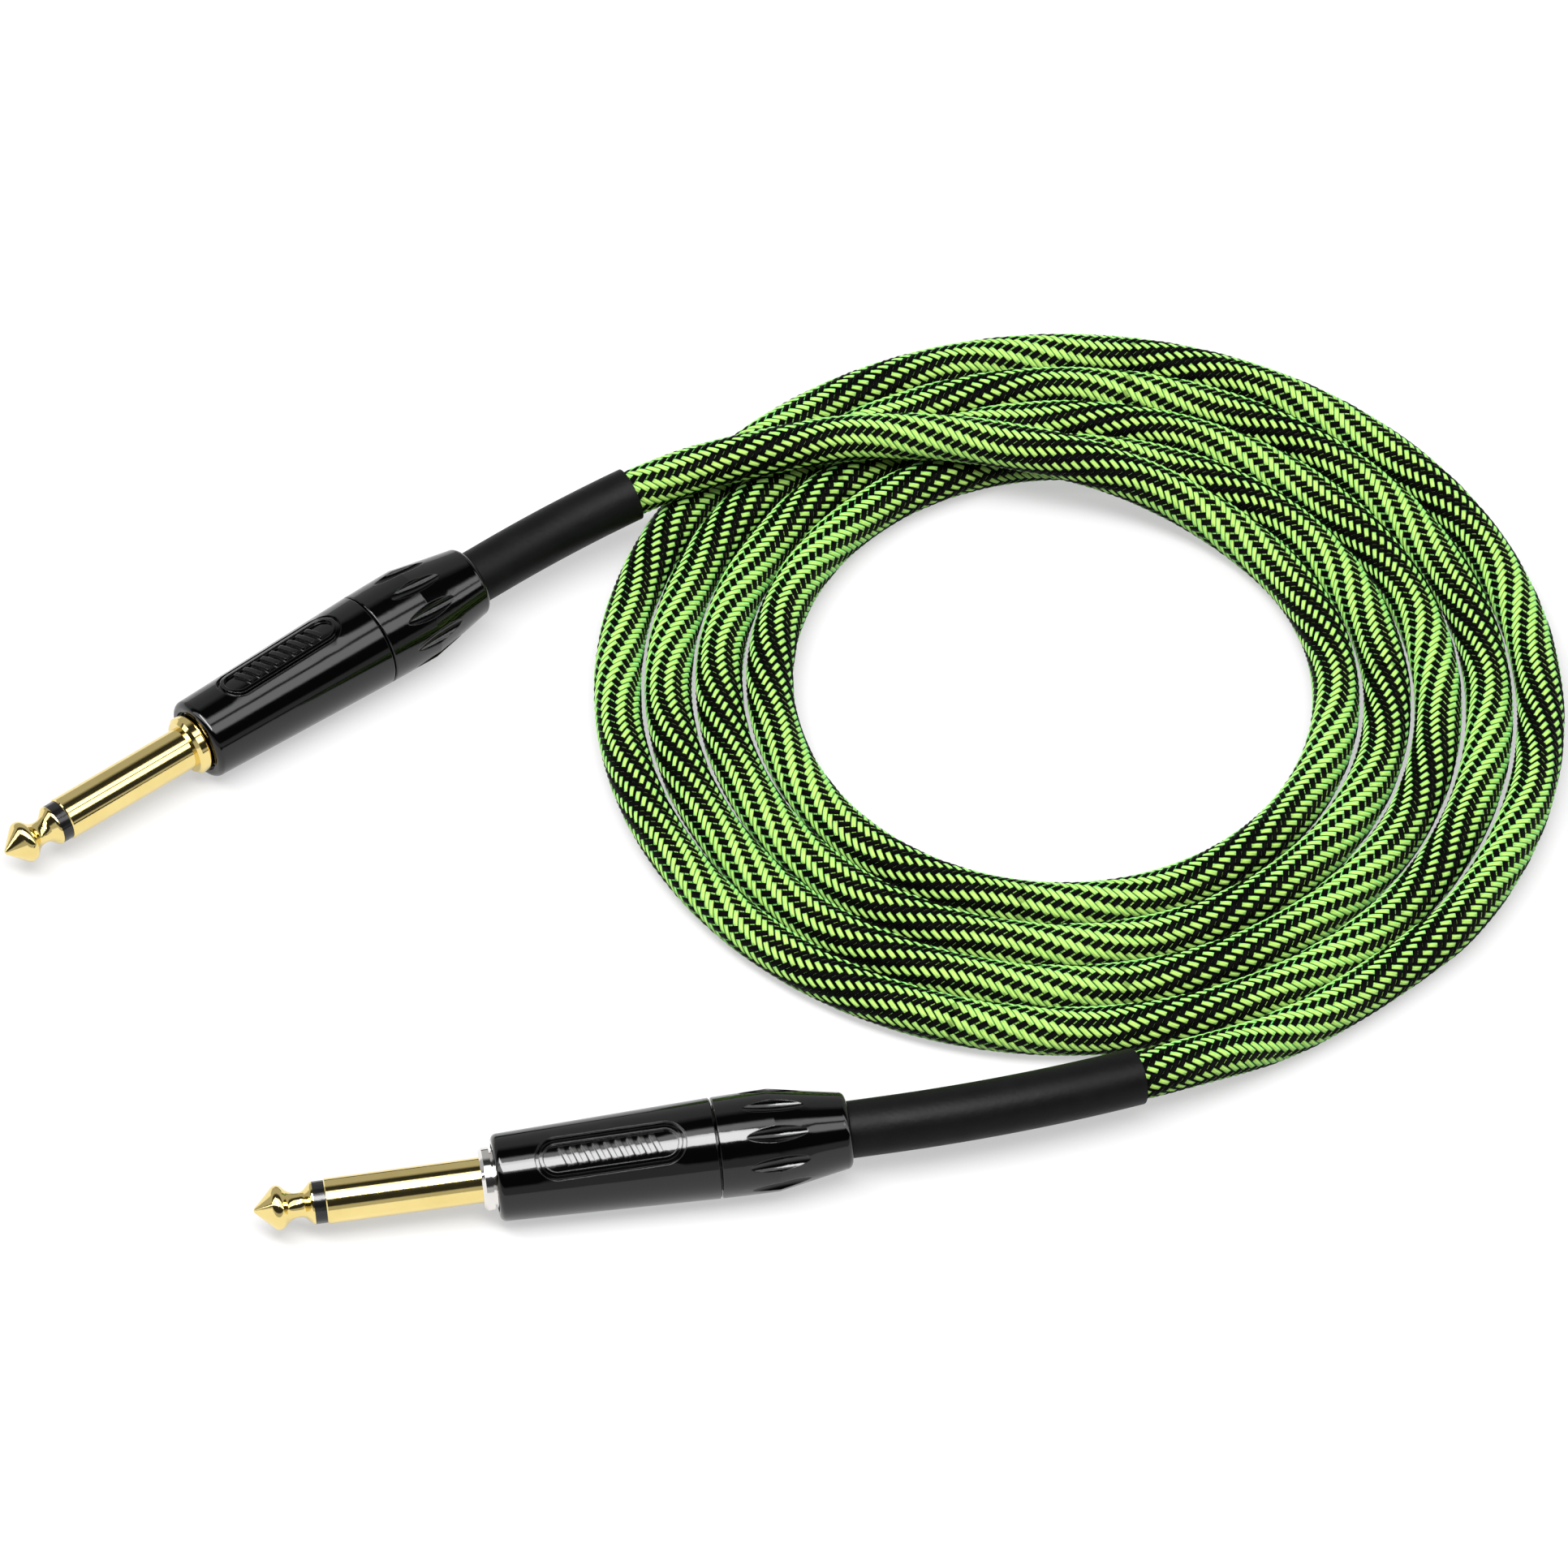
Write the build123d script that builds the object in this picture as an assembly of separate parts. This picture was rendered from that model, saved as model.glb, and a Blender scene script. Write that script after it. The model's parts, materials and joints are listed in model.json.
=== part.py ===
"""Instrument cable: two straight 6.35 mm plugs on a braided cord that lies in a loose flat coil.

All sizes are in millimetres and all angles in degrees. The floor is z = 0, +X runs along the longest
side and +Y away from the front plug. Each plug is modelled along its own X axis, from the point of its
tip (station 0) back towards the cord, and is then laid on the floor.
"""
from build123d import *
import math
import os

# ---- cord and coil -------------------------------------------------------------------------------
CORD_D = 7.0
COIL_CENTRE = (70.4, 32.4)
COIL_START_TURN = 0.14          # turns counted clockwise from +Y, where the rear lead joins the coil
COIL_END_TURN = 4.36            # where the front lead leaves it
COIL_FIRST_RADIUS = 38.1
COIL_PITCH = 7.36
COIL_UNEVEN_PITCH = 0.40        # turns lie closer together at the far side than at the near side
COIL_OFFSET = 1.0
COIL_OVAL = 0.8
ARCS_PER_TURN = 8

# ---- contact -------------------------------------------------------------------------------------
SLEEVE_D = 6.35
SLEEVE_BORE = 4.6
SLEEVE_TAIL_D = 6.0             # threaded tail behind the flange
TIP_SHANK_D = 2.2
TIP_LEN = 8.3
TIP_POINT_D = 0.6
TIP_POINT_LEN = 0.1
TIP_HEAD_D = 6.24
TIP_NECK_D = 3.44
TIP_BASE_LEN = 0.24             # behind the flare
TIP_ROUNDS = (0.15, 1.05, 2.1, 1.0, 0.5)    # radii at the point, head, both ends of the neck, and base
TIP_SHANK_PAST = 10.0           # length of shank hidden behind the flange's front
RING_LEN = 1.65
RING_RECESS = 0.2               # the tip's base and the ring stand this far below the sleeve
EDGE = 0.15                     # chamfer of the sleeve's front edge
FLANGE_FRONT = 31.5
FLANGE_D = 8.9
FLANGE_LEN = 2.7
FLANGE_CHAMFER = 0.5
FLANGE_DISC = 1.5               # length of the front disc, ahead of the groove
GROOVE_LEN = 0.3
GROOVE_DEPTH = 0.6
FLANGE_STEP = 0.3               # the ring behind the groove is this much lower
SLEEVE_PAST_TAG = 0.2

# ---- housing -------------------------------------------------------------------------------------
BARREL_FRONT = 33.5
SEAM = 64.3
COLLAR_END = 82.8
BARREL_FRONT_D = 12.2
SEAM_D = 14.1
COLLAR_MAX_D = 14.3
COLLAR_MAX_AT = 8.0             # behind the seam
COLLAR_END_D = 10.8
BARREL_WALL = 0.95
FRONT_WALL = 2.0
THREAD_D = 11.9
THREAD_LEN = 6.5
THREAD_CLEARANCE = 0.15         # radial
SEAM_GAP = 0.2
SEAM_CHAMFER = 0.15
NOSE_ROUND = 0.9
POCKET_CLEARANCE = 0.3          # round the flange, radial
LIP_ROUND = 0.9
FLUTES = 10
FLUTE_BEHIND_WIDEST = 0.4
FLUTE_LEN = 13.0
FLUTE_HALF_WIDTH = 1.2
FLUTE_LIFT = 0.25               # the cutter's middle stands this high above the widest ring
PANEL_LEN = 21.0
PANEL_WIDTH = 6.2
PANEL_RIM = 0.55
PANEL_DEPTH = 0.45
PANEL_RIBS = 9
PANEL_BACK = 0.6                # the panel's middle is this far behind the barrel's middle
RIB_THICK = 0.7
RIB_INSET = 0.5
RIB_LEAN = 20.0

# ---- inside --------------------------------------------------------------------------------------
FIT = 0.02                      # radial gap of pieces pressed or glued together
LINER_WALL = 0.4
NUT_AF = 8.8
NUT_LEN = 2.0
TAG_THICK = 0.6
TAG_D = 8.6
STRAP_WIDTH = 2.6
CLAW_LEN = 2.4
CLAW_GAP = 2.4
WASHER_LEN = 1.2
LUG_D = 5.2
LUG_WIDTH = 2.4
SOLDER_D = 1.8
COLLET_D = 9.2
COLLET_START = 1.0              # behind the seam
COLLET_CONE_LEN = 2.0
COLLET_CONE_DEPTH = 0.5
COLLET_SLOTS = 4
COLLET_SLOT_LEN = 6.2
COLLET_SLOT_WIDTH = 0.8
COLLET_TO_END = 8.2             # from the collet's rear to the collar's end
SPIGOT_BORE = 9.7
SPIGOT_BEHIND_THREAD = 0.6
THRUST_LEN = 1.2
THRUST_GAP = 0.1                # between the thrust washer and the collar
JACKET_TO_SEAM = 5.0            # the cord's jacket is stripped back to this far in front of the seam
CLAW_TO_JACKET = 1.0
SHIELD_D = 5.0
CORE_D = 3.4
WIRE_D = 1.0
# Places along the stripped cord, as shares of the room between the tip's lug and the jacket.
WIRE_SHARE = 0.265
TIP_JOINT_SHARE = 0.351
LUG_SHARE = 0.449
CORE_SHARE = 0.568
SHIELD_SHARE = 0.757
GROUND_JOINT_SHARE = 0.854

# ---- boots ---------------------------------------------------------------------------------------
BOOT_D = 8.0
BOOT_CLEARANCE = 0.25           # radial, between the boot and what slides over it
LEAD_START = 7.0                # first run of a lead, straight out of its boot
BOOT_TUCK = 6.0                 # length of boot hidden in the collar
BOOT_STRAIGHT = 5.0             # straight length behind the collar

# ---- how each plug lies --------------------------------------------------------------------------
PLUGS = {
    "a": {
        "tip": (-81.24, -0.79),
        "heading": 38.2,
        "boot": 28.2,
        "turn": -10.0,
        "rise": 5.0,
        "panel": 100.0,
        "flute": 45.0,
    },
    "b": {
        "tip": (-43.3, -66.55),
        "heading": 8.8,
        "boot": 41.5,
        "turn": 12.0,
        "rise": -5.0,
        "panel": 66.0,
        "flute": 57.0,
    },
}
# The front edge of the barrel and the widest ring of the collar both touch the floor.
FLOOR_SPAN = SEAM + COLLAR_MAX_AT - BARREL_FRONT
PLUG_PITCH = math.degrees(math.asin((COLLAR_MAX_D - BARREL_FRONT_D) / 2 / FLOOR_SPAN))

# Points of the uncoiled leads between a boot and the coil, chosen along the way the cord lies.
LEAD_A = [
    (24.5, 72.4, 10.9),
    (37.0, 76.0, 10.9),
    (50.5, 76.6, 10.9),
    (64.0, 74.4, 10.8),
    (77.0, 71.8, 9.2),
    (87.5, 68.3, 6.2),
    (95.2, 63.6, 4.2),
]
LEAD_B = [
    (118.4, -19.0, 3.5),
    (109.4, -26.8, 3.6),
    (98.5, -34.2, 3.5),
]


def turned(*outline):
    """A solid of revolution about X from (station, radius) corners."""
    return revolve(make_face(Polyline(*outline, close=True)), Axis.X)


def tube(start, end, outer_r, inner_r=0.0):
    return turned((start, inner_r), (end, inner_r), (end, outer_r), (start, outer_r))


def save(name, solid):
    solid.label = name
    export_step(solid, f"parts/{name}.step")


# ---- contact pieces ------------------------------------------------------------------------------
def tip_contact():
    """The cone, the back of the head and the flare behind the neck all lean at 45 degrees."""
    head_round = TIP_ROUNDS[1]
    crest_r = TIP_HEAD_D / 2 + head_round * (math.sqrt(2) - 1)
    crest = TIP_POINT_LEN + crest_r - TIP_POINT_D / 2
    neck_r = TIP_NECK_D / 2
    base_r = SLEEVE_D / 2 - RING_RECESS
    flare_end = TIP_LEN - TIP_BASE_LEN
    shank_r = TIP_SHANK_D / 2
    shank_end = FLANGE_FRONT + TIP_SHANK_PAST
    corners = [
        (0, 0),
        (TIP_POINT_LEN, TIP_POINT_D / 2),
        (crest, crest_r),
        (crest + crest_r - neck_r, neck_r),
        (flare_end - base_r + neck_r, neck_r),
        (flare_end, base_r),
        (TIP_LEN, base_r),
    ]
    with BuildPart() as piece:
        with BuildSketch(Plane.XY):
            with BuildLine():
                profile = FilletPolyline(*corners, radius=list(TIP_ROUNDS))
                Polyline(
                    profile @ 1,
                    (TIP_LEN, shank_r),
                    (shank_end, shank_r),
                    (shank_end, 0),
                    (0, 0),
                )
            make_face()
        revolve(axis=Axis.X)
    return piece.part


def ring_end():
    return TIP_LEN + RING_LEN


def flange_end():
    return FLANGE_FRONT + FLANGE_LEN


def nut_start():
    """The barrel's front wall lies between the flange and the nut."""
    return flange_end() + FRONT_WALL


def tag_start():
    return nut_start() + NUT_LEN


def sleeve_end():
    """The sleeve passes the flange, the barrel's front wall, the nut and the tag."""
    return tag_start() + TAG_THICK + SLEEVE_PAST_TAG


def contact_pieces():
    sleeve_r = SLEEVE_D / 2
    bore_r = SLEEVE_BORE / 2
    shank_r = TIP_SHANK_D / 2 + FIT
    flange_r = FLANGE_D / 2
    tail_r = SLEEVE_TAIL_D / 2
    groove_start = FLANGE_FRONT + FLANGE_DISC
    groove_end = groove_start + GROOVE_LEN
    flange = turned(
        (FLANGE_FRONT, tail_r + FIT),
        (flange_end(), tail_r + FIT),
        (flange_end(), flange_r - FLANGE_STEP),
        (groove_end, flange_r - FLANGE_STEP),
        (groove_end, flange_r - GROOVE_DEPTH),
        (groove_start, flange_r - GROOVE_DEPTH),
        (groove_start, flange_r),
        (FLANGE_FRONT + FLANGE_CHAMFER, flange_r),
        (FLANGE_FRONT, flange_r - FLANGE_CHAMFER),
    )
    sleeve = turned(
        (ring_end(), bore_r),
        (sleeve_end(), bore_r),
        (sleeve_end(), tail_r),
        (FLANGE_FRONT, tail_r),
        (FLANGE_FRONT, sleeve_r),
        (ring_end() + EDGE, sleeve_r),
        (ring_end(), sleeve_r - EDGE),
    )
    return {
        "tip_contact": tip_contact(),
        "tip_insulator_ring": tube(TIP_LEN, ring_end(), sleeve_r - RING_RECESS, shank_r),
        "insulator_tube": tube(ring_end(), sleeve_end(), bore_r - FIT, shank_r),
        "sleeve_contact": sleeve,
        "flange_ring": flange,
    }


# ---- housing pieces ------------------------------------------------------------------------------
def barrel_radius(station):
    share = (station - BARREL_FRONT) / (SEAM - BARREL_FRONT)
    return (BARREL_FRONT_D + (SEAM_D - BARREL_FRONT_D) * share) / 2


def bore_radius():
    """The bore is straight and leaves the wall thinnest at the barrel's front."""
    return barrel_radius(nut_start()) - BARREL_WALL


def thread_start():
    return SEAM - THREAD_LEN


def rounded(start, start_r, size, way):
    """Quarter-round from (start, start_r) to a radius larger by size, way = 1 or -1 along the axis."""
    near = size * (1 - math.cos(math.radians(45)))
    far = size * math.sin(math.radians(45))
    return ThreePointArc(
        (start, start_r),
        (start + way * near, start_r + far),
        (start + way * size, start_r + size),
    )


def oval(centre, length, width, height):
    """An upright prism with round ends, along X, from the axis up."""
    return extrude(Plane((centre, 0, 0)) * SlotOverall(length, width), height)


def barrel(panel_angle):
    """Tapered shell with an oval panel; the panel faces panel_angle above the plug's own -Y side."""
    rear = SEAM - SEAM_GAP
    tail_r = SLEEVE_TAIL_D / 2 + FIT
    pocket_r = FLANGE_D / 2 + POCKET_CLEARANCE
    with BuildPart() as shell:
        with BuildSketch(Plane.XY):
            with BuildLine():
                nose = rounded(BARREL_FRONT, BARREL_FRONT_D / 2 - NOSE_ROUND, NOSE_ROUND, 1)
                Polyline(
                    nose @ 1,
                    (rear - SEAM_CHAMFER, barrel_radius(rear)),
                    (rear, barrel_radius(rear) - SEAM_CHAMFER),
                    (rear, THREAD_D / 2),
                    (thread_start(), THREAD_D / 2),
                    (thread_start(), bore_radius()),
                    (nut_start(), bore_radius()),
                    (nut_start(), tail_r),
                    (flange_end(), tail_r),
                    (flange_end(), pocket_r),
                    (BARREL_FRONT, pocket_r),
                    nose @ 0,
                )
            make_face()
        revolve(axis=Axis.X)
    return Rot(90 - panel_angle, 0, 0) * (shell.part - panel_grooves())


def panel_grooves():
    """A moat round the panel and the sunk field inside its rim, with ribs left standing."""
    centre = (BARREL_FRONT + SEAM) / 2 + PANEL_BACK
    top = barrel_radius(SEAM) + 1
    half = PANEL_LEN / 2 + 1
    skin = turned(
        (centre - half, barrel_radius(centre - half) - PANEL_DEPTH),
        (centre + half, barrel_radius(centre + half) - PANEL_DEPTH),
        (centre + half, top),
        (centre - half, top),
    )
    ovals = [
        oval(centre, PANEL_LEN - 2 * inset, PANEL_WIDTH - 2 * inset, top)
        for inset in (0, PANEL_RIM, 2 * PANEL_RIM)
    ]
    field = ovals[2]
    rib_pitch = (PANEL_LEN - 4 * PANEL_RIM - PANEL_WIDTH) / (PANEL_RIBS - 1)
    rib_width = PANEL_WIDTH - 4 * PANEL_RIM - 2 * RIB_INSET
    for number in range(PANEL_RIBS):
        station = centre + (number - (PANEL_RIBS - 1) / 2) * rib_pitch
        field -= Pos(station, 0, top / 2) * Rot(0, 0, RIB_LEAN) * Box(RIB_THICK, rib_width, top)
    return (ovals[0] - ovals[1] + field) & skin


def collar(flute_angle):
    """Fluted screw collar; one flute's middle is flute_angle above the plug's own -Y side."""
    end_r = COLLAR_END_D / 2
    widest = SEAM + COLLAR_MAX_AT
    spigot_front = thread_start() + SPIGOT_BEHIND_THREAD
    spigot_r = THREAD_D / 2 - THREAD_CLEARANCE
    shoulder = collet_end() + THRUST_LEN + THRUST_GAP
    rear_bore = BOOT_D / 2 + BOOT_CLEARANCE
    with BuildPart() as piece:
        with BuildSketch(Plane.XY):
            with BuildLine():
                crown = ThreePointArc(
                    (SEAM + SEAM_CHAMFER, SEAM_D / 2),
                    (widest - 0.3 * COLLAR_MAX_AT, COLLAR_MAX_D / 2 - 0.01),
                    (widest, COLLAR_MAX_D / 2),
                )
                lip = rounded(COLLAR_END, end_r - LIP_ROUND, LIP_ROUND, -1)
                Line(crown @ 1, lip @ 1)
                Polyline(
                    lip @ 0,
                    (COLLAR_END, rear_bore),
                    (shoulder, rear_bore),
                    (shoulder, SPIGOT_BORE / 2),
                    (spigot_front, SPIGOT_BORE / 2),
                    (spigot_front, spigot_r),
                    (SEAM, spigot_r),
                    (SEAM, SEAM_D / 2 - SEAM_CHAMFER),
                    crown @ 0,
                )
            make_face()
        revolve(axis=Axis.X)
    slope = math.degrees(math.atan((COLLAR_MAX_D - COLLAR_END_D) / 2 / (COLLAR_END - widest)))
    half = FLUTE_LEN / 2
    outline = [ThreePointArc((-half, 0), (0, FLUTE_HALF_WIDTH), (half, 0)), Line((half, 0), (-half, 0))]
    spindle = revolve(make_face(outline), Axis.X)
    middle = Pos(widest + FLUTE_BEHIND_WIDEST, 0, COLLAR_MAX_D / 2 + FLUTE_LIFT)
    flute = middle * Rot(0, slope / 2, 0) * spindle
    body = piece.part
    for number in range(FLUTES):
        body -= Rot(90 - flute_angle + 360 * number / FLUTES, 0, 0) * flute
    return body


# ---- pieces inside the housing -------------------------------------------------------------------
def collet_end():
    return COLLAR_END - COLLET_TO_END


def jacket_front():
    return SEAM - JACKET_TO_SEAM


def lug_start():
    return sleeve_end() + WASHER_LEN


def stripped(share):
    """A place between the tip's lug and the front of the cord's jacket."""
    start = lug_start() + TAG_THICK
    return start + share * (jacket_front() - start)


def solder_joint(station, low, high, hole_r):
    """A post of solder at a station, from height low to high, round the wire or shield it joins."""
    post = Pos(station, 0, (low + high) / 2) * Cylinder(SOLDER_D / 2, high - low)
    return post - tube(station - SOLDER_D, station + SOLDER_D, hole_r + FIT)


def strap(start, end, width, low):
    """A flat strip along X whose underside is at height low."""
    return Pos((start + end) / 2, 0, low + TAG_THICK / 2) * Box(end - start, width, TAG_THICK)


def tip_lug():
    washer = tube(lug_start(), lug_start() + TAG_THICK, LUG_D / 2, TIP_SHANK_D / 2 + FIT)
    return washer + strap(lug_start(), stripped(LUG_SHARE), LUG_WIDTH, lug_low())


def lug_low():
    return TIP_SHANK_D / 2 + FIT


def tag_strap_top():
    """The tag's strap runs under both the sleeve's tail and the cord."""
    return -max(SLEEVE_TAIL_D, CORD_D) / 2 - FIT


def ground_tag():
    cord_r = CORD_D / 2 + FIT
    claw_start = jacket_front() + CLAW_TO_JACKET
    claw_end = claw_start + CLAW_LEN
    claw = tube(claw_start, claw_end, TAG_THICK - tag_strap_top(), cord_r)
    claw -= Pos((claw_start + claw_end) / 2, 0, CORD_D / 2) * Box(2 * CLAW_LEN, CLAW_GAP, CORD_D / 2)
    washer = tube(tag_start(), tag_start() + TAG_THICK, TAG_D / 2, SLEEVE_TAIL_D / 2 + FIT)
    run = strap(tag_start(), claw_end, STRAP_WIDTH, tag_strap_top() - TAG_THICK)
    return washer + run + claw


def collet():
    cord_r = CORD_D / 2 + FIT
    front = SEAM + COLLET_START
    outer_r = COLLET_D / 2
    piece = turned(
        (front, cord_r),
        (collet_end(), cord_r),
        (collet_end(), outer_r),
        (front + COLLET_CONE_LEN, outer_r),
        (front, outer_r - COLLET_CONE_DEPTH),
    )
    slit = Pos(front + COLLET_SLOT_LEN / 2, 0, outer_r) * Box(COLLET_SLOT_LEN, COLLET_SLOT_WIDTH, outer_r)
    for number in range(COLLET_SLOTS):
        piece -= Rot(360 * number / COLLET_SLOTS, 0, 0) * slit
    return piece


def inside_pieces():
    shank_r = TIP_SHANK_D / 2 + FIT
    shield_r = SHIELD_D / 2
    core_r = CORE_D / 2
    wire_r = WIRE_D / 2
    liner_r = bore_radius() - FIT
    nut = RegularPolygon(NUT_AF / 2, 6, major_radius=False) - Circle(SLEEVE_TAIL_D / 2 + FIT)
    thrust_r = SPIGOT_BORE / 2 - THRUST_GAP
    thrust_hole_r = BOOT_D / 2 + BOOT_CLEARANCE
    return {
        "lock_nut": extrude(Plane.YZ.offset(nut_start()) * nut, NUT_LEN),
        "ground_tag": ground_tag(),
        "rear_insulator": tube(sleeve_end(), lug_start(), SLEEVE_TAIL_D / 2, shank_r),
        "tip_lug": tip_lug(),
        "barrel_liner": tube(tag_start() + TAG_THICK, thread_start(), liner_r, liner_r - LINER_WALL),
        "shield_braid": tube(stripped(SHIELD_SHARE), jacket_front(), shield_r, core_r + FIT),
        "core_insulation": tube(stripped(CORE_SHARE), jacket_front(), core_r, wire_r + FIT),
        "centre_wire": tube(stripped(WIRE_SHARE), jacket_front(), wire_r),
        "tip_solder": solder_joint(stripped(TIP_JOINT_SHARE), -2 * wire_r, lug_low(), wire_r),
        "ground_solder": solder_joint(stripped(GROUND_JOINT_SHARE), tag_strap_top(), 0, shield_r),
        "cord_collet": collet(),
        "thrust_washer": tube(collet_end(), collet_end() + THRUST_LEN, thrust_r, thrust_hole_r),
    }


# ---- boots and cord ends -------------------------------------------------------------------------
def bend(plug):
    """The boot's bend: angle, direction of its inside in the plug's YZ plane, and radius."""
    angle = math.hypot(plug["turn"], plug["rise"])
    inward = Vector(0, plug["turn"] / angle, plug["rise"] / angle)
    return angle, inward, (plug["boot"] - BOOT_STRAIGHT) / math.radians(angle)


def bent_tube(plug, start, outer_r, inner_r):
    """A tube from start, straight to just behind the collar and then bent to the boot's end."""
    angle, inward, radius = bend(plug)
    corner = COLLAR_END + BOOT_STRAIGHT
    section = Plane.YZ.offset(corner) * Circle(outer_r)
    if inner_r:
        section -= Plane.YZ.offset(corner) * Circle(inner_r)
    turning = Axis(Vector(corner, 0, 0) + inward * radius, Vector(1, 0, 0).cross(inward))
    return tube(start, corner, outer_r, inner_r) + revolve(section, turning, angle)


def boot_exit(plug):
    """Where the cord leaves the boot, and which way, in the plug's own frame."""
    angle, inward, radius = bend(plug)
    turn = math.radians(angle)
    point = Vector(COLLAR_END + BOOT_STRAIGHT + radius * math.sin(turn), 0, 0)
    point += inward * (radius * (1 - math.cos(turn)))
    return point, Vector(math.cos(turn), 0, 0) + inward * math.sin(turn)


def laid(plug):
    """Location of the plug: its tip height puts the barrel's front edge on the floor."""
    lean = math.radians(PLUG_PITCH)
    height = BARREL_FRONT_D / 2 * math.cos(lean) - BARREL_FRONT * math.sin(lean)
    x, y = plug["tip"]
    return Pos(x, y, height) * Rot(0, 0, plug["heading"]) * Rot(0, -PLUG_PITCH, 0)


# ---- coil and leads ------------------------------------------------------------------------------
def coil_radius(turn):
    angle = 2 * math.pi * turn
    pitch = COIL_PITCH - COIL_UNEVEN_PITCH * math.cos(angle)
    return COIL_FIRST_RADIUS + COIL_OFFSET * math.cos(angle) + COIL_OVAL * math.cos(2 * angle) + pitch * turn


def coil_point(turn, outward=0.0, height=0.0):
    angle = math.pi / 2 - 2 * math.pi * turn
    radius = coil_radius(turn) + outward
    x, y = COIL_CENTRE
    return (x + radius * math.cos(angle), y + radius * math.sin(angle), height)


def coil_outline(first_turn, outward):
    """One full turn of the coil's edge, closed by a step across the turn that ends there."""
    edges = []
    for number in range(ARCS_PER_TURN):
        turns = [first_turn + (number + share) / ARCS_PER_TURN for share in (0, 0.5, 1)]
        edges.append(ThreePointArc(*[coil_point(turn, outward) for turn in turns]))
    edges.append(Line(edges[-1] @ 1, edges[0] @ 0))
    return make_face(edges)


def cable_coil():
    outer = coil_outline(COIL_END_TURN - 1, CORD_D / 2)
    inner = coil_outline(COIL_START_TURN, -CORD_D / 2)
    return extrude(outer - inner, CORD_D, dir=(0, 0, 1))


def lead(name, points):
    """A tube along straight runs joined by arcs as large as the two runs allow."""
    corners = [Vector(point) for point in points]
    runs = [after - before for before, after in zip(corners, corners[1:])]
    radii = []
    for before, after in zip(runs, runs[1:]):
        half_turn = math.radians(before.get_angle(after)) / 2
        radii.append(0.45 * min(before.length, after.length) / math.tan(half_turn))
    path = FilletPolyline(*corners, radius=radii)
    section = Plane(origin=path @ 0, z_dir=path % 0) * Circle(CORD_D / 2)
    solid = sweep(section, path)
    share = solid.volume / (math.pi * CORD_D**2 / 4 * path.length)
    print(f"{name}: radii {[round(radius) for radius in radii]}")
    print(f"{name}: length {path.length:.1f}, volume share {share:.4f}")
    return solid


def main():
    os.makedirs("parts", exist_ok=True)
    exits = {}
    for side, plug in PLUGS.items():
        place = laid(plug)
        pieces = contact_pieces() | inside_pieces()
        pieces["barrel"] = barrel(plug["panel"])
        pieces["rear_collar"] = collar(plug["flute"])
        pieces["boot"] = bent_tube(plug, COLLAR_END - BOOT_TUCK, BOOT_D / 2, CORD_D / 2 + FIT)
        pieces["cord_end"] = bent_tube(plug, jacket_front(), CORD_D / 2, 0)
        for name, solid in pieces.items():
            save(f"{name}_{side}", place * solid)
        point, way = boot_exit(plug)
        exits[side] = [(place * Pos(*spot)).position for spot in (point, point + way * LEAD_START)]
    coil_start = coil_point(COIL_START_TURN, height=CORD_D / 2)
    coil_end = coil_point(COIL_END_TURN, height=CORD_D / 2)
    save("lead_a", lead("lead_a", [*exits["a"], *LEAD_A, coil_start]))
    save("lead_b", lead("lead_b", [coil_end, *LEAD_B, *reversed(exits["b"])]))
    save("cable_coil", cable_coil())


main()
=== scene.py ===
"""Instrument cable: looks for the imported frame, with a real braided cord in place of its plain solids."""
import json
import math

import bpy
import numpy as np
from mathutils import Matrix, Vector


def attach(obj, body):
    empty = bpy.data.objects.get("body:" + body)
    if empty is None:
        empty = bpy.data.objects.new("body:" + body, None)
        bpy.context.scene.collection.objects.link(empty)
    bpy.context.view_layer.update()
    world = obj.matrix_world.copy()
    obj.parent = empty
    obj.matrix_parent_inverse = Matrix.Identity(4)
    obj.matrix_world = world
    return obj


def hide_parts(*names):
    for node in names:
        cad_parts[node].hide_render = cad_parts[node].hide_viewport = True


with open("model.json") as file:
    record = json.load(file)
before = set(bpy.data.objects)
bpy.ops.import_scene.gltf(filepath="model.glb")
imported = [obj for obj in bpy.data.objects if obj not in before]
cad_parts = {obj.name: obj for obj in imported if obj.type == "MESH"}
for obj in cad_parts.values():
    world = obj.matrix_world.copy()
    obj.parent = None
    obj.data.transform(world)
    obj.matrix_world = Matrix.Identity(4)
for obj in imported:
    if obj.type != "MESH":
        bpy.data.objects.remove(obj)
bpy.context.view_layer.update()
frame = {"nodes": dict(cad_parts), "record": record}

MM = 0.001

# ---- camera --------------------------------------------------------------------------------------
CAMERA_ELEVATION = math.radians(48)
CAMERA_TARGET = Vector((0.0296, 0.0126, 0.005))
CAMERA_DISTANCE = 1.3
CAMERA_LENS = 208.3
SENSOR = 36.0

# ---- cord route, in millimetres, as in the CAD source --------------------------------------------
CORD_D = 7.0
COIL_CENTRE = (70.4, 32.4)
COIL_START_TURN = 0.14
COIL_END_TURN = 4.36
COIL_FIRST_RADIUS = 38.1
COIL_PITCH = 7.36
COIL_UNEVEN_PITCH = 0.40
COIL_OFFSET = 1.0
COIL_OVAL = 0.8
POINTS_PER_TURN = 36
SAME_PLACE = 1e-6               # points closer than this are one
ROUTE_A = [
    (4.445, 64.733, 8.86),
    (13.206, 69.42, 9.992),
    (24.5, 72.4, 10.9),
    (37.0, 76.0, 10.9),
    (50.5, 76.6, 10.9),
    (64.0, 74.4, 10.8),
    (77.0, 71.8, 9.2),
    (87.5, 68.3, 6.2),
    (95.2, 63.6, 4.2),
]
ROUTE_B = [
    (118.4, -19.0, 3.5),
    (109.4, -26.8, 3.6),
    (98.5, -34.2, 3.5),
    (85.179, -41.335, 6.54),
    (75.848, -44.881, 7.142),
]

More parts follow.
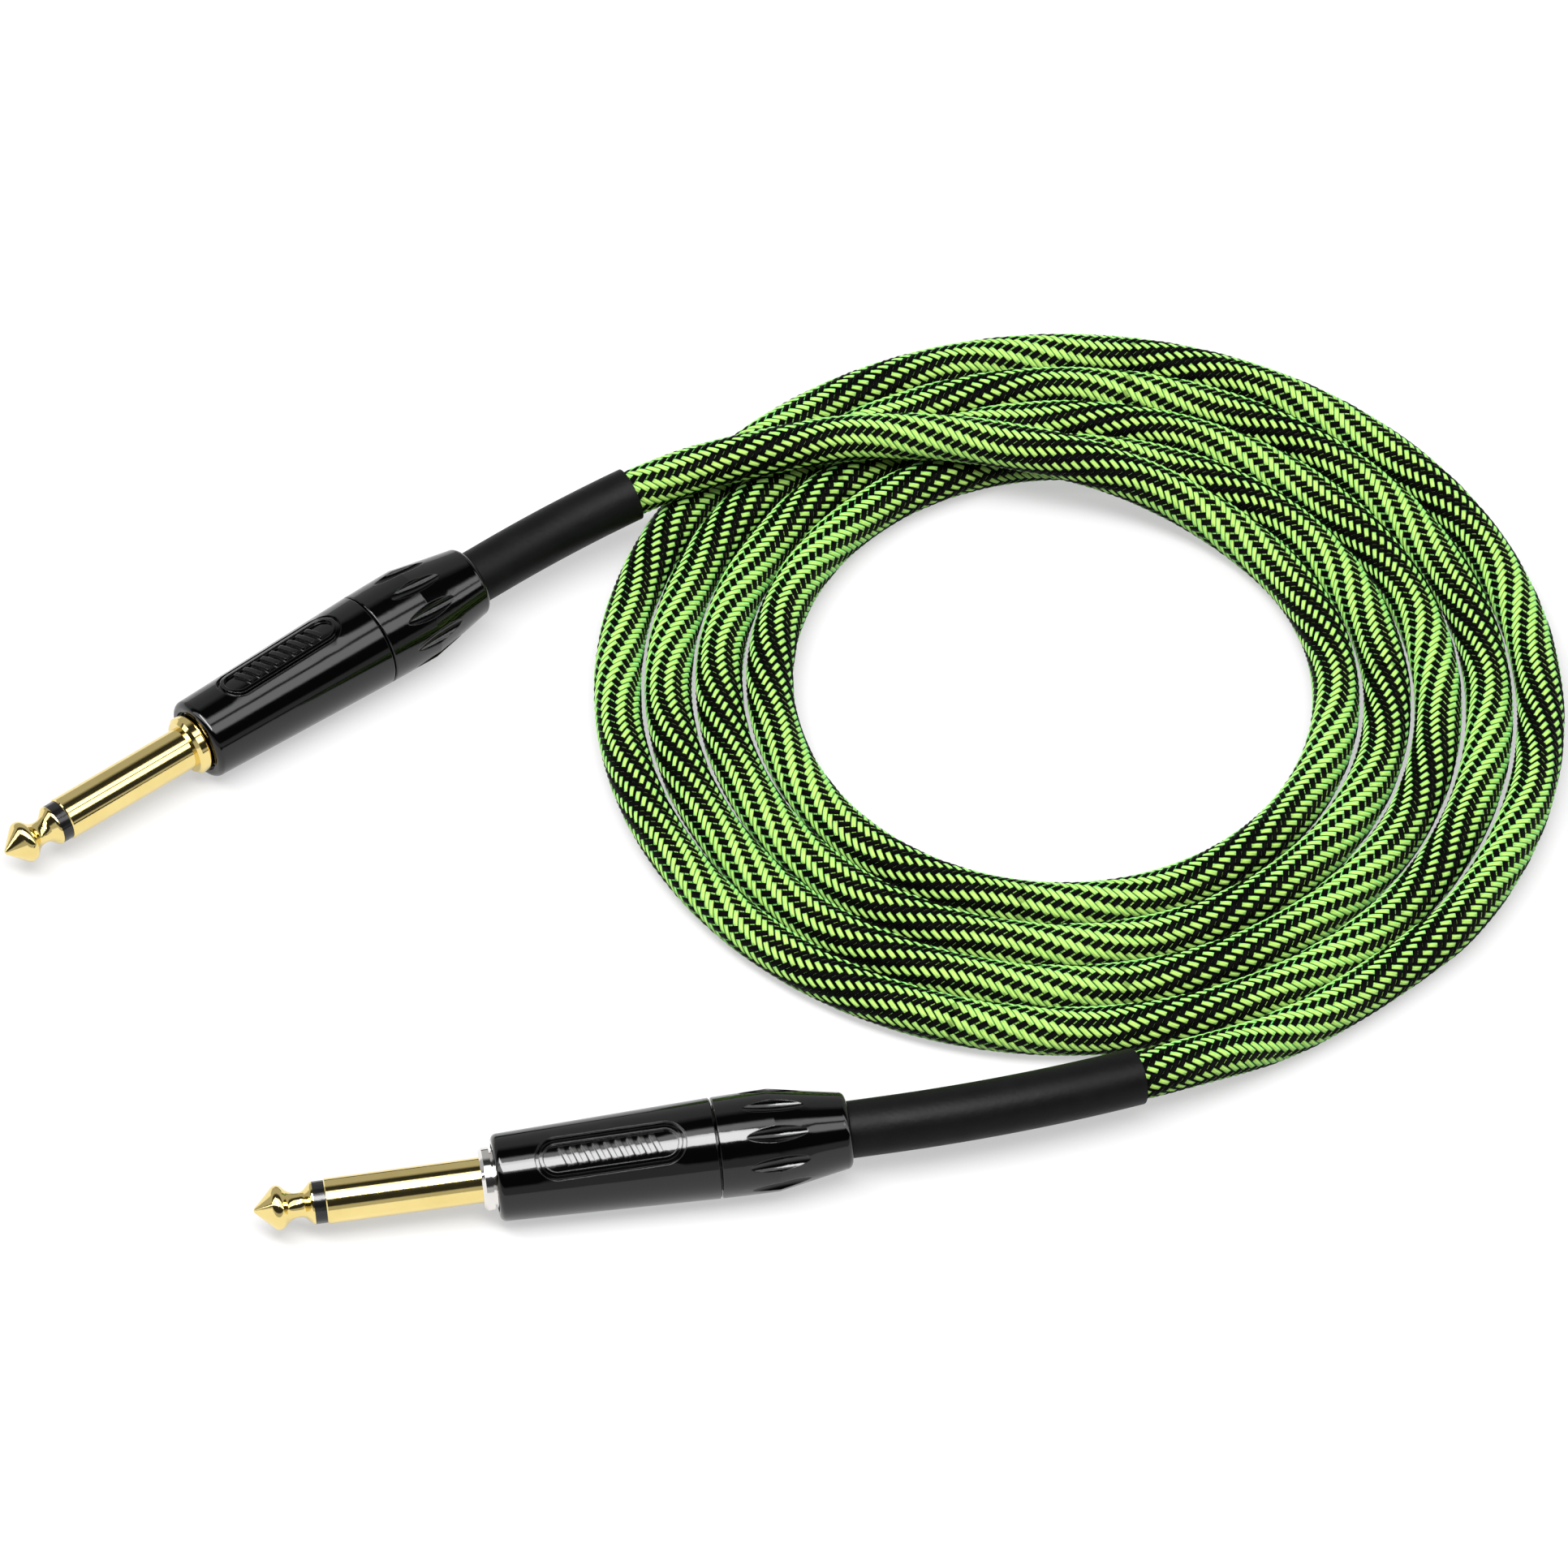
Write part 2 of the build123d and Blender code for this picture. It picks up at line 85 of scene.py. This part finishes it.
# ---- braid: 16 green tows one way round and 16 black the other, each over two and under two ------
TOWS = 16
FLOAT_PITCH = 1.33              # mm from one float to the next along a row
CORE_RADIUS = 3.02
BRAID_RADIUS = 3.33             # where the two sets of tows pass each other
CROSSING = 0.13                 # a tow rises and sinks this much at each crossing
CROWN = 0.13                    # a tow's middle stands this much above its edges
PIT = -0.22                     # floor of the gap between four tows, from the braid's radius
GREEN_FILL = (0.60, 0.95)       # share of its room a green tow fills, where black and where green leads
BLACK_FILL = (0.99, 0.80)       # the same for a black tow
TWIST_LENGTH = 48.0             # the rows of floats wander round the cord over this length
TWIST = 0.87                    # by this angle each way, in radians
WEAVE_STEEPNESS = 1.6           # above 1, a tow lies level between its crossings
PIT_PAINTED_SHADE = 0.75                # painted shade that the yarn takes at the floor of a gap, from 0 on top to 1
MAP_FILL = 0.84                 # share of its room a tow fills on its map
MAP_COLUMNS = 3                 # strips side by side on a section's whole map
SECTIONS = 8

# ---- yarn colour: 0 is the pale colour, 1 the painted shade colour; gaps, tow edges and seam get painted shade, filaments and grain are the yarn's own ---
FILAMENTS = 62.0                # phase of the fine lines across one tow, in radians
FILAMENT_LEAN = 3.0             # and along it, for each crossing
SEAM_SLOPE = 8.0                # the line between the two ends fades out at 1/8 of the tow from its middle; its darkening is painted shade in that groove
EDGE_SLOPE = 4.5                # painted shade at the tow's edge, where it meets its neighbours, starts at EDGE_START / EDGE_SLOPE from its middle
EDGE_START = 1.35
FILAMENT_SHADE = 0.08
SEAM_PAINTED_SHADE = 0.45
EDGE_PAINTED_SHADE = 0.6
PAINTED_DEPTH_SHADE = (-0.10, 1.25)     # painted shade: lighter on top, darker deep down in the gaps
GRAIN_SHADE = (-0.3, 0.3)


def camera():
    data = bpy.data.cameras.new("camera")
    data.lens = CAMERA_LENS
    data.sensor_width = SENSOR
    back = Vector((0, -math.cos(CAMERA_ELEVATION), math.sin(CAMERA_ELEVATION)))
    obj = bpy.data.objects.new("camera", data)
    obj.location = CAMERA_TARGET + back * CAMERA_DISTANCE
    obj.rotation_euler = (math.pi / 2 - CAMERA_ELEVATION, 0, 0)
    bpy.context.scene.collection.objects.link(obj)
    bpy.context.scene.camera = obj


# ---- materials -----------------------------------------------------------------------------------
class Nodes:
    """The node tree of a material or world, with short calls for the nodes used here."""

    def __init__(self, owner, shader="Principled BSDF", **sockets):
        owner.use_nodes = True
        self.owner = owner
        self.tree = owner.node_tree
        self.shader = self.tree.nodes[shader]
        self.set(self.shader, sockets)

    def feed(self, socket, value):
        """Link another node's output to a socket, or give it a plain value."""
        if isinstance(value, bpy.types.NodeSocket):
            self.tree.links.new(value, socket)
        else:
            socket.default_value = value

    def set(self, node, sockets):
        for key, value in sockets.items():
            self.feed(node.inputs[key.replace("_", " ")], value)

    def add(self, kind, settings=None, **sockets):
        node = self.tree.nodes.new(kind)
        for key, value in (settings or {}).items():
            setattr(node, key, value)
        self.set(node, sockets)
        return node.outputs

    def math(self, operation, *values, clamp=False):
        node = self.tree.nodes.new("ShaderNodeMath")
        node.operation = operation
        node.use_clamp = clamp
        for socket, value in zip(node.inputs, values):
            self.feed(socket, value)
        return node.outputs[0]

    def mix(self, share, first, second):
        """Colour between two colours. The mix node's colours are its inputs 6 and 7 and its output 2."""
        outputs = self.add("ShaderNodeMix", {"data_type": "RGBA"})
        for index, value in ((0, share), (6, first), (7, second)):
            self.feed(outputs[0].node.inputs[index], value)
        return outputs[2]

    def noise(self, scale, detail=2.0):
        place = self.add("ShaderNodeTexCoord")["Object"]
        return self.add("ShaderNodeTexNoise", Vector=place, Scale=scale, Detail=detail)["Fac"]

    def bump(self, height, distance, strength=1.0, edge=0.0):
        """Bump from a height. edge is the radius in metres to which sharp edges look worn round."""
        normal = self.add("ShaderNodeBump", Height=height, Distance=distance, Strength=strength)
        if edge:
            worn = self.add("ShaderNodeBevel", Radius=edge)
            self.tree.links.new(worn["Normal"], normal[0].node.inputs["Normal"])
        self.tree.links.new(normal["Normal"], self.shader.inputs["Normal"])

    def between(self, value, low, high):
        """A number from low to high as value goes from 0 to 1."""
        return self.math("MULTIPLY_ADD", value, high - low, low)


def new_material(name, **sockets):
    return Nodes(bpy.data.materials.new(name), **sockets)


def yarn(name, pale, painted_shade_colour, **sockets):
    """Tow of two yarn ends side by side, pale on top with painted shade in its gaps, on its edges and along
    its seam. The map yarn runs 0-1 across the tow and one per crossing along.
    """
    m = new_material(name, **sockets)
    uv = m.add("ShaderNodeUVMap", {"uv_map": "yarn"})["UV"]
    split = m.add("ShaderNodeSeparateXYZ", Vector=uv)
    across, along = split["X"], split["Y"]
    off = m.math("ABSOLUTE", m.math("SUBTRACT", across, 0.5))
    # the seam between the tow's two ends: a groove in the bump and painted shade in the colour
    seam = m.math("SUBTRACT", 1.0, m.math("MULTIPLY", off, SEAM_SLOPE, clamp=True))
    # painted shade along the tow's edges, between neighbouring tows
    edge = m.math("MULTIPLY_ADD", off, EDGE_SLOPE, -EDGE_START, clamp=True)
    lean = m.math("MULTIPLY", along, FILAMENT_LEAN)
    filament = m.math("SINE", m.math("MULTIPLY_ADD", across, FILAMENTS, lean))
    # painted shade: the yarn darkens where it sinks into the gaps between tows
    painted_pit_shade = m.add("ShaderNodeAttribute", {"attribute_name": "painted_pit_shade"})["Fac"]
    painted_shade_and_grain = m.math("MULTIPLY_ADD", filament, FILAMENT_SHADE, m.between(painted_pit_shade, *PAINTED_DEPTH_SHADE))
    painted_shade_and_grain = m.math("MULTIPLY_ADD", seam, SEAM_PAINTED_SHADE, painted_shade_and_grain)
    painted_shade_and_grain = m.math("MULTIPLY_ADD", edge, EDGE_PAINTED_SHADE, painted_shade_and_grain)
    grain = m.noise(900.0, 3.0)
    painted_shade_and_grain = m.math("ADD", painted_shade_and_grain, m.between(grain, *GRAIN_SHADE), clamp=True)
    m.set(m.shader, {"Base_Color": m.mix(painted_shade_and_grain, pale, painted_shade_colour)})
    height = m.math("SUBTRACT", m.math("MULTIPLY", filament, 0.25), seam)
    m.bump(height, 0.00006)
    return m.owner


def braid_materials():
    # each yarn's second colour is its painted shade colour
    green = yarn(
        "braid_green", (0.50, 0.72, 0.15, 1), (0.0, 0.10, 0.003, 1),
        Roughness=0.5, Specular_IOR_Level=0.3,
        Sheen_Weight=0.8, Sheen_Roughness=0.45, Sheen_Tint=(0.0, 0.75, 0.22, 1),
    )
    black = yarn(
        "braid_black", (0.0012, 0.0010, 0.0010, 1), (0.0002, 0.0002, 0.0002, 1),
        Roughness=0.45, Specular_IOR_Level=0.04,
    )
    # the gaps between tows are near black: painted shade in the pits
    gap = new_material("braid_gap_painted_shade", Roughness=0.9, Specular_IOR_Level=0.02)
    dark = gap.mix(gap.noise(1500.0), (0.0006, 0.0010, 0.0005, 1), (0.0001, 0.0002, 0.0001, 1))
    gap.set(gap.shader, {"Base_Color": dark})
    return green, black, gap.owner


def metal(name, colour, tarnish, roughness):
    """Plated metal with faint clouding, fine marks and uneven gloss."""
    m = new_material(name, Metallic=1.0)
    cloud = m.noise(220.0, 4.0)
    m.set(m.shader, {
        "Base_Color": m.mix(m.between(cloud, -0.2, 0.8), colour, tarnish),
        "Roughness": m.between(m.noise(700.0, 3.0), roughness * 0.6, roughness * 1.5),
    })
    m.bump(m.noise(2600.0, 4.0), 0.00002, strength=0.15)
    return m.owner


def enamel():
    """Glossy black enamel, worn a little round on its edges."""
    m = new_material("black_enamel", IOR=1.5)
    speck = m.noise(500.0, 4.0)
    m.set(m.shader, {
        "Base_Color": m.mix(speck, (0.0001, 0.0001, 0.0002, 1), (0.0005, 0.0005, 0.0006, 1)),
        "Roughness": m.between(m.noise(160.0, 3.0), 0.03, 0.12),
    })
    m.bump(m.noise(900.0, 2.0), 0.00001, 0.3, edge=0.00018)
    return m.owner


def rubber():
    """Matte black shrink tube."""
    m = new_material("boot_rubber", Specular_IOR_Level=0.12)
    m.set(m.shader, {
        "Base_Color": m.mix(m.noise(350.0, 4.0), (0.0012, 0.0012, 0.0014, 1), (0.0034, 0.0034, 0.0038, 1)),
        "Roughness": m.between(m.noise(240.0, 4.0), 0.36, 0.56),
    })
    m.bump(m.noise(1400.0, 5.0), 0.00005, 0.6)
    return m.owner


def plain(name, light, dark, roughness, grain, metallic=0.0):
    """A plain finish, mottled and slightly uneven at the noise scale grain."""
    m = new_material(name, Metallic=metallic)
    cloud = m.noise(grain, 3.0)
    m.set(m.shader, {
        "Base_Color": m.mix(cloud, dark, light),
        "Roughness": m.between(cloud, roughness * 0.8, roughness * 1.2),
    })
    m.bump(cloud, 0.00003)
    return m.owner


def node_materials():
    gold = metal("gold_contact", (0.87, 0.71, 0.30, 1), (0.74, 0.57, 0.20, 1), 0.08)
    nickel = metal("nickel", (0.82, 0.80, 0.78, 1), (0.66, 0.63, 0.60, 1), 0.10)
    steel = plain("bright_steel", (0.62, 0.62, 0.62, 1), (0.42, 0.42, 0.43, 1), 0.28, 900.0, metallic=1.0)
    copper = plain("copper", (0.85, 0.42, 0.22, 1), (0.50, 0.20, 0.10, 1), 0.3, 1800.0, metallic=1.0)
    solder = plain("solder", (0.62, 0.62, 0.64, 1), (0.38, 0.38, 0.40, 1), 0.35, 1500.0, metallic=1.0)
    white = plain("white_plastic", (0.82, 0.82, 0.78, 1), (0.70, 0.70, 0.66, 1), 0.4, 400.0)
    dark = plain("black_plastic", (0.030, 0.030, 0.032, 1), (0.014, 0.014, 0.015, 1), 0.45, 500.0)
    ring = plain("black_insulator", (0.008, 0.008, 0.008, 1), (0.003, 0.003, 0.003, 1), 0.15, 700.0)
    return {
        "gold_contact": gold,
        "nickel": nickel,
        "black_enamel": enamel(),
        "boot_rubber": rubber(),
        "black_insulator": ring,
        "black_plastic": dark,
        "white_plastic": white,
        "bright_steel": steel,
        "copper": copper,
        "solder": solder,
    }


def dress_nodes(materials):
    """Each CAD node takes the material of its slot in the record."""
    slots = {part["node"]: part["material_slot"] for part in frame["record"]["subparts"]}
    for node, obj in frame["nodes"].items():
        obj.data.materials.clear()
        obj.data.materials.append(materials[slots[node]])


# ---- cord ----------------------------------------------------------------------------------------
def coil_point(turn, stretch):
    """Centre of the cord in the coil. stretch makes up for the spline running inside its points."""
    angle = 2 * math.pi * turn
    pitch = COIL_PITCH - COIL_UNEVEN_PITCH * math.cos(angle)
    radius = COIL_FIRST_RADIUS + COIL_OFFSET * math.cos(angle) + COIL_OVAL * math.cos(2 * angle)
    radius = (radius + pitch * turn) * stretch
    x, y = COIL_CENTRE
    return (x + radius * math.sin(angle), y + radius * math.cos(angle), CORD_D / 2)


def route_points():
    stretch = 1 / math.cos(math.pi / POINTS_PER_TURN)
    count = round((COIL_END_TURN - COIL_START_TURN) * POINTS_PER_TURN)
    turns = [COIL_START_TURN + (COIL_END_TURN - COIL_START_TURN) * n / count for n in range(count + 1)]
    return ROUTE_A + [coil_point(turn, stretch) for turn in turns] + ROUTE_B


def cord_core(points):
    """The cord's body under the braid, on one smooth line from boot to boot."""
    data = bpy.data.curves.new("cord_core", "CURVE")
    data.dimensions = "3D"
    spline = data.splines.new("NURBS")
    spline.points.add(len(points) - 1)
    for point, (x, y, z) in zip(spline.points, points):
        point.co = (x * MM, y * MM, z * MM, 1)
    spline.order_u = 3
    spline.use_endpoint_u = True
    data.resolution_u = 8
    obj = bpy.data.objects.new("cord_core", data)
    bpy.context.scene.collection.objects.link(obj)
    return obj


def route_line(core):
    """Points along the route's spline, in millimetres."""
    mesh = bpy.data.meshes.new_from_object(core)
    line = np.empty(3 * len(mesh.vertices))
    mesh.vertices.foreach_get("co", line)
    bpy.data.meshes.remove(mesh)
    return line.reshape(-1, 3) / MM


class Route:
    """The cord's line by arc length, with a frame that keeps its first side up."""

    def __init__(self, line):
        steps = np.linalg.norm(np.diff(line, axis=0), axis=1)
        line = line[np.r_[True, steps > SAME_PLACE]]
        self.at = np.r_[0, np.cumsum(np.linalg.norm(np.diff(line, axis=0), axis=1))]
        self.line = line
        self.tangent = np.gradient(line, self.at, axis=0)

    @property
    def length(self):
        return self.at[-1]

    def frame(self, s):
        point = np.stack([np.interp(s, self.at, self.line[:, k]) for k in range(3)], -1)
        tangent = np.stack([np.interp(s, self.at, self.tangent[:, k]) for k in range(3)], -1)
        tangent /= np.linalg.norm(tangent, axis=-1, keepdims=True)
        up = np.array([0.0, 0.0, 1.0]) - tangent[..., 2:3] * tangent
        up /= np.linalg.norm(up, axis=-1, keepdims=True)
        return point, up, np.cross(tangent, up)


def tow_fill(s):
    """Share of its room that a green and a black tow fill at s along the cord."""
    lead = 0.5 + 0.5 * np.cos(2 * math.pi * s / TWIST_LENGTH)
    return [low + (high - low) * lead for low, high in (GREEN_FILL, BLACK_FILL)]


def across_tow(column, middle, fill):
    """Places across a tow: 0 is the edge of its cell, 1 and 3 the tow's edges and 2 its middle."""
    return middle + np.select([column == 0, column == 1, column == 2], [-0.5, -fill / 2, 0.0], fill / 2)


def build_braid(route, materials):
    """The braid's outer skin as sections of mesh, each float of each tow standing clear of its neighbours."""
    rings = int(route.length / (FLOAT_PITCH / 2))
    edges = np.linspace(1, rings - 1, SECTIONS + 1).astype(int)
    return [
        braid_section(f"cord_braid_{n + 1}", np.arange(edges[n] - 1, edges[n + 1] + 2), route, materials)
        for n in range(SECTIONS)
    ]


def braid_points(rings, route):
    """Lattice of 4 x 4 points for each cell, where green tow i crosses black tow j, and their heights."""
    step = FLOAT_PITCH / 2
    tow, ring, a, b = np.meshgrid(np.arange(TOWS), rings, np.arange(4), np.arange(4), indexing="ij")
    i_mid = tow.astype(float)
    j_mid = (tow + ring).astype(float)
    fill = tow_fill((j_mid - i_mid) * step)
    i = across_tow(a, i_mid, fill[0])
    j = across_tow(b, j_mid, fill[1])
    s = np.clip((j - i) * step, 0, route.length)
    twist = TWIST * np.sin(2 * math.pi * s / TWIST_LENGTH)
    angle = math.pi * (i + j) / TOWS + twist
    weave = np.clip(WEAVE_STEEPNESS * np.cos(math.pi * (i + j - 0.5) / 2), -1, 1)
    across_a = (i - i_mid) / (fill[0] / 2)
    across_b = (j - j_mid) / (fill[1] / 2)
    height_a = np.where(a > 0, CROSSING * weave - CROWN * across_a**2, PIT)
    height_b = np.where(b > 0, -CROSSING * weave - CROWN * across_b**2, PIT)
    height = np.maximum(height_a, height_b)
    point, up, side = route.frame(s)
    radius = (BRAID_RADIUS + height)[..., None]
    places = point + radius * (np.cos(angle)[..., None] * up + np.sin(angle)[..., None] * side)
    return places.reshape(-1, 3), height.reshape(-1)


def lattice_number(tow, ring, a, b, rings):
    """Number of a lattice point; the cell to the next tow or ring holds the last row of a cell."""
    over_a, over_b = a // 4, b // 4
    tow = (tow + over_a) % TOWS
    ring = ring - over_a + over_b
    return ((tow * rings + ring) * 4 + a % 4) * 4 + b % 4


class Cells:
    """The quads of one section: their points, which yarn shows, and where each corner is in its cell."""

    def __init__(self, rings):
        count = len(rings)
        t, r, p, q = np.meshgrid(
            np.arange(TOWS), np.arange(1, count - 1), np.arange(4), np.arange(4), indexing="ij"
        )
        corners = ((0, 1), (1, 1), (1, 0), (0, 0))
        quads = [lattice_number(t, r, p + u, q + v, count) for u, v in corners]
        self.quads = np.stack(quads, -1).reshape(-1, 4)
        in_green = (p == 1) | (p == 2)
        in_black = (q == 1) | (q == 2)
        green_over = np.isin((2 * t + rings[r]) % 4, (0, 1))
        # which material shows: green 0, black 1, gap 2, a near-black painted shade
        where_both = np.where(green_over, 0, 1)
        where_one = np.where(in_green, 0, np.where(in_black, 1, 2))
        self.kind = np.where(in_green & in_black, where_both, where_one)
        self.i = t[..., None].astype(float)
        self.j = (t + rings[r])[..., None].astype(float)
        share = np.array([-0.5, -MAP_FILL / 2, 0.0, MAP_FILL / 2, 0.5])
        self.i_share = share[np.stack([p + u for u, v in corners], -1)]
        self.j_share = share[np.stack([q + v for u, v in corners], -1)]


def yarn_map(mesh, cells):
    """Across each tow from 0 to 1, and along it one for each crossing."""
    green = (cells.kind == 0)[..., None]
    across = np.where(green, cells.i_share, cells.j_share) / MAP_FILL + 0.5
    along = np.where(green, cells.j + cells.j_share, cells.i + cells.i_share)
    set_map(mesh, "yarn", across, along)


def whole_map(mesh, cells, rings):
    """The section unrolled without overlaps, cut into strips side by side."""
    total = len(rings) + 2
    strip = total / MAP_COLUMNS
    column = np.floor((cells.j - cells.i - rings[0]) / total * MAP_COLUMNS)
    spread = (cells.i + cells.i_share + 1) / (TOWS + 2)
    ring = cells.j + cells.j_share - cells.i - cells.i_share
    up = (ring - rings[0] + 1 - column * strip) / (strip + 3)
    set_map(mesh, "OFBake", (column + spread) / MAP_COLUMNS, up)


def braid_section(name, rings, route, materials):
    places, height = braid_points(rings, route)
    cells = Cells(rings)
    used, compact = np.unique(cells.quads, return_inverse=True)
    mesh = bpy.data.meshes.new(name)
    mesh.from_pydata((places[used] * MM).tolist(), [], compact.reshape(-1, 4).tolist())
    mesh.polygons.foreach_set("material_index", cells.kind.reshape(-1).astype(np.int32))
    mesh.polygons.foreach_set("use_smooth", np.ones(len(cells.quads), bool))
    for material in materials:
        mesh.materials.append(material)
    # amount of painted shade at each point: how far it sinks below a crossing's top
    painted_pit_shade = mesh.attributes.new("painted_pit_shade", "FLOAT", "POINT")
    sunk = (CROSSING - height[used]) / (CROSSING - PIT)
    painted_pit_shade.data.foreach_set("value", np.clip(sunk * PIT_PAINTED_SHADE, 0, 1))
    yarn_map(mesh, cells)
    whole_map(mesh, cells, rings)
    mesh.validate()
    mesh.update()
    obj = bpy.data.objects.new(name, mesh)
    bpy.context.scene.collection.objects.link(obj)
    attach(obj, "cable")
    return obj


def set_map(mesh, name, first, second):
    layer = mesh.uv_layers.new(name=name)
    layer.data.foreach_set("uv", np.stack([first, second], -1).reshape(-1).astype(np.float32))


def cord(materials):
    """The whole cord: core and braid, with the CAD's plain cord parts hidden."""
    core = cord_core(route_points())
    route = Route(route_line(core))
    core.data.bevel_depth = CORE_RADIUS * MM
    core.data.bevel_resolution = 6
    core.data.use_fill_caps = True
    # the core under the braid takes the gaps' painted shade material
    core.data.materials.append(materials[2])
    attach(core, "cable")
    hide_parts("cable_coil", "lead_a", "lead_b")
    sections = build_braid(route, materials)
    print(f"cord {route.length:.0f} mm")


# ---- studio --------------------------------------------------------------------------------------
STUDIO_STRENGTH = 3.2
FLOOR_GLOW = 0.5                # the floor is a light table
FLOOR_HALF = 12.0
FLOOR_DROP = 0.0002             # keeps the floor clear of the cable's underside
KEY_PLACE = Vector((-0.2, -0.35, 1.5))
KEY_SIZE = (1.6, 0.5)
KEY_POWER = 40.0
# Brightness of the studio by height, from the horizon in front (0) overhead (0.5) to behind (1).
STUDIO_BANDS = [
    (0.00, 0.50),
    (0.10, 0.50),
    (0.13, 0.03),
    (0.32, 0.03),
    (0.35, 3.2),
    (0.44, 3.2),
    (0.45, 0.25),
    (0.47, 0.25),
    (0.48, 3.2),
    (0.53, 3.2),
    (0.56, 0.03),
    (0.67, 0.03),
    (0.74, 0.50),
    (1.00, 0.50),
]


def studio():
    world = bpy.data.worlds.new("studio")
    bpy.context.scene.world = world
    w = Nodes(world, "Background", Strength=STUDIO_STRENGTH)
    split = w.add("ShaderNodeSeparateXYZ", Vector=w.add("ShaderNodeTexCoord")["Generated"])
    angle = w.math("ARCTAN2", split["Z"], w.math("MULTIPLY", split["Y"], -1.0))
    ramp = w.add("ShaderNodeValToRGB", Fac=w.math("DIVIDE", angle, math.pi))
    elements = ramp["Color"].node.color_ramp.elements
    elements.remove(elements[-1])
    for index, (position, level) in enumerate(STUDIO_BANDS):
        element = elements.new(position) if index else elements[0]
        element.position = position
        element.color = (level / STUDIO_STRENGTH,) * 3 + (1,)
    w.set(w.shader, {"Color": ramp["Color"]})


def floor():
    corners = [(x, y, 0) for x, y in ((-1, -1), (1, -1), (1, 1), (-1, 1))]
    mesh = bpy.data.meshes.new("floor")
    mesh.from_pydata([Vector(corner) * FLOOR_HALF for corner in corners], [], [(0, 1, 2, 3)])
    obj = bpy.data.objects.new("floor", mesh)
    obj.location.z = -FLOOR_DROP
    bpy.context.scene.collection.objects.link(obj)
    m = new_material("floor", Roughness=0.8, Specular_IOR_Level=0.1, Emission_Strength=FLOOR_GLOW)
    m.set(m.shader, {
        "Base_Color": m.mix(m.noise(30.0), (0.25, 0.25, 0.25, 1), (0.26, 0.26, 0.26, 1)),
        "Emission_Color": (1, 1, 1, 1),
    })
    mesh.materials.append(m.owner)
    obj.visible_diffuse = False


def key_lamp():
    data = bpy.data.lights.new("key", "AREA")
    data.shape = "RECTANGLE"
    data.size, data.size_y = KEY_SIZE
    data.energy = KEY_POWER
    obj = bpy.data.objects.new("key", data)
    obj.location = KEY_PLACE
    obj.rotation_euler = (CAMERA_TARGET - KEY_PLACE).to_track_quat("-Z", "Y").to_euler()
    bpy.context.scene.collection.objects.link(obj)


def main():
    camera()
    braid = braid_materials()
    cord(braid)
    dress_nodes({**node_materials(), "cord_braid": braid[1]})
    studio()
    floor()
    key_lamp()
    bpy.context.scene.view_settings.view_transform = "Standard"
    bpy.context.view_layer.update()


main()
